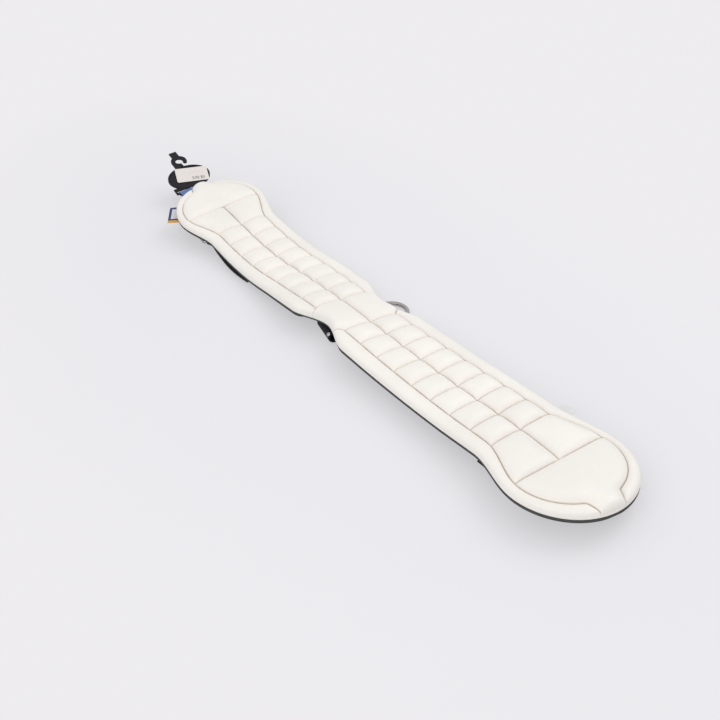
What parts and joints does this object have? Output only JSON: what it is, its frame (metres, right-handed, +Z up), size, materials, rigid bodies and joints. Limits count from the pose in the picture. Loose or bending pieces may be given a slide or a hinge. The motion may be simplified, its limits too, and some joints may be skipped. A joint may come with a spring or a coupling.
{
  "type": "saddle girth",
  "caption": "Short padded saddle girth: quilted pad with rounded end lobes, elastics with roller buckles, centre ring and belt hanger.",
  "frame": {"origin": "on the flat underside of the cross strap, under the middle of the neck, where the girth rests", "axes": "X along the girth with the hanger end at -X, +Y towards the ring side, +Z up through the pad, away from the surface it lies on"},
  "size_m": [0.8963, 0.1338, 0.0511],
  "materials": {
    "pad_cover": "soft matt ivory synthetic leather",
    "backing_foam": "matt dark foam sheet",
    "shell_fabric": "matt woven synthetic",
    "black_webbing": "ribbed webbing",
    "black_elastic": "ribbed elastic",
    "bright_steel": "polished stainless steel",
    "blue_ribbon": "satin ribbon",
    "black_plastic": "satin moulded",
    "sticker_paper": "matt paper",
    "woven_label": "woven label",
    "white_label": "satin label"
  },
  "bodies": {
    "neck": {"pad_neck": "pad_cover", "backing_neck": "backing_foam", "shell_neck": "shell_fabric", "webbing_neck": "black_webbing", "cross_strap": "black_webbing", "strap_rivet": "bright_steel", "ring_loop": "black_webbing"},
    "left": {"pad_left": "pad_cover", "backing_left": "backing_foam", "shell_left": "shell_fabric", "webbing_left": "black_webbing", "anchor_left": "shell_fabric", "elastic_left_near": "black_elastic", "elastic_left_far": "black_elastic", "hang_tab": "blue_ribbon", "edge_label": "woven_label"},
    "right": {"pad_right": "pad_cover", "backing_right": "backing_foam", "shell_right": "shell_fabric", "webbing_right": "black_webbing", "anchor_right": "shell_fabric", "elastic_right_near": "black_elastic", "elastic_right_far": "black_elastic", "care_label": "white_label"},
    "ring": {"girth_ring": "bright_steel"},
    "hanger": {"hanger": "black_plastic", "hanger_sticker": "sticker_paper"},
    "elastic_end_left_near": {"chape_left_near": "black_elastic"},
    "buckle_left_near": {"buckle_frame_left_near": "bright_steel"},
    "tongue_left_near": {"buckle_tongue_left_near": "bright_steel"},
    "roller_left_near": {"buckle_roller_left_near": "bright_steel"},
    "elastic_end_left_far": {"chape_left_far": "black_elastic"},
    "buckle_left_far": {"buckle_frame_left_far": "bright_steel"},
    "tongue_left_far": {"buckle_tongue_left_far": "bright_steel"},
    "roller_left_far": {"buckle_roller_left_far": "bright_steel"},
    "elastic_end_right_near": {"chape_right_near": "black_elastic"},
    "buckle_right_near": {"buckle_frame_right_near": "bright_steel"},
    "tongue_right_near": {"buckle_tongue_right_near": "bright_steel"},
    "roller_right_near": {"buckle_roller_right_near": "bright_steel"},
    "elastic_end_right_far": {"chape_right_far": "black_elastic"},
    "buckle_right_far": {"buckle_frame_right_far": "bright_steel"},
    "tongue_right_far": {"buckle_tongue_right_far": "bright_steel"},
    "roller_right_far": {"buckle_roller_right_far": "bright_steel"}
  },
  "joints": [
    {"name": "fold_left", "type": "hinge", "parent": "neck", "child": "left", "pos_m": [-0.03, 0.00014, 0.02399], "axis": [0, 0.9903, -0.1392], "range_deg": [-12, 70], "stiffness_Nm_per_rad": 0.8},
    {"name": "fold_right", "type": "hinge", "parent": "neck", "child": "right", "pos_m": [0.03, 0.00014, 0.02399], "axis": [0, -0.9903, 0.1392], "range_deg": [-12, 70], "stiffness_Nm_per_rad": 0.8},
    {"name": "ring_swing", "type": "hinge", "parent": "neck", "child": "ring", "pos_m": [-0.00099, 0.02641, 0.00506], "axis": [0.9781, -0.2079, 0], "range_deg": [-95, 7]},
    {"name": "hanger_swing", "type": "hinge", "parent": "left", "child": "hanger", "pos_m": [-0.424, -0.003, 0.0238], "axis": [0, 1, 0], "range_deg": [-70, 50]},
    {"name": "stretch_left_near", "type": "slide", "parent": "left", "child": "elastic_end_left_near", "axis": [-0.9976, 0.0698, 0], "range_m": [0, 0.02], "stiffness_N_per_m": 2500, "deforming": ["elastic_left_near"]},
    {"name": "buckle_swing_left_near", "type": "hinge", "parent": "elastic_end_left_near", "child": "buckle_left_near", "pos_m": [-0.3, -0.026, 0.00495], "axis": [0.0698, 0.9976, 0], "range_deg": [-60, 0]},
    {"name": "tongue_swing_left_near", "type": "hinge", "parent": "buckle_left_near", "child": "tongue_left_near", "pos_m": [-0.3, -0.026, 0.00495], "axis": [0.0698, 0.9976, 0], "range_deg": [-90, 0]},
    {"name": "roller_spin_left_near", "type": "hinge", "parent": "buckle_left_near", "child": "roller_left_near", "pos_m": [-0.32582, -0.02419, 0.0074], "axis": [0.0698, 0.9976, 0], "continuous": true},
    {"name": "stretch_left_far", "type": "slide", "parent": "left", "child": "elastic_end_left_far", "axis": [-1, 0, 0], "range_m": [0, 0.02], "stiffness_N_per_m": 2500, "deforming": ["elastic_left_far"]},
    {"name": "buckle_swing_left_far", "type": "hinge", "parent": "elastic_end_left_far", "child": "buckle_left_far", "pos_m": [-0.3, 0.026, 0.00495], "axis": [0, 1, 0], "range_deg": [-60, 0]},
    {"name": "tongue_swing_left_far", "type": "hinge", "parent": "buckle_left_far", "child": "tongue_left_far", "pos_m": [-0.3, 0.026, 0.00495], "axis": [0, 1, 0], "range_deg": [-90, 0]},
    {"name": "roller_spin_left_far", "type": "hinge", "parent": "buckle_left_far", "child": "roller_left_far", "pos_m": [-0.32588, 0.026, 0.0074], "axis": [0, 1, 0], "continuous": true},
    {"name": "stretch_right_near", "type": "slide", "parent": "right", "child": "elastic_end_right_near", "axis": [1, 0, 0], "range_m": [0, 0.02], "stiffness_N_per_m": 2500, "deforming": ["elastic_right_near"]},
    {"name": "buckle_swing_right_near", "type": "hinge", "parent": "elastic_end_right_near", "child": "buckle_right_near", "pos_m": [0.3, -0.026, 0.00495], "axis": [0, -1, 0], "range_deg": [-60, 0]},
    {"name": "tongue_swing_right_near", "type": "hinge", "parent": "buckle_right_near", "child": "tongue_right_near", "pos_m": [0.3, -0.026, 0.00495], "axis": [0, -1, 0], "range_deg": [-90, 0]},
    {"name": "roller_spin_right_near", "type": "hinge", "parent": "buckle_right_near", "child": "roller_right_near", "pos_m": [0.32588, -0.026, 0.0074], "axis": [0, -1, 0], "continuous": true},
    {"name": "stretch_right_far", "type": "slide", "parent": "right", "child": "elastic_end_right_far", "axis": [1, 0, 0], "range_m": [0, 0.02], "stiffness_N_per_m": 2500, "deforming": ["elastic_right_far"]},
    {"name": "buckle_swing_right_far", "type": "hinge", "parent": "elastic_end_right_far", "child": "buckle_right_far", "pos_m": [0.3, 0.026, 0.00495], "axis": [0, -1, 0], "range_deg": [-60, 0]},
    {"name": "tongue_swing_right_far", "type": "hinge", "parent": "buckle_right_far", "child": "tongue_right_far", "pos_m": [0.3, 0.026, 0.00495], "axis": [0, -1, 0], "range_deg": [-90, 0]},
    {"name": "roller_spin_right_far", "type": "hinge", "parent": "buckle_right_far", "child": "roller_right_far", "pos_m": [0.32588, 0.026, 0.0074], "axis": [0, -1, 0], "continuous": true}
  ]
}
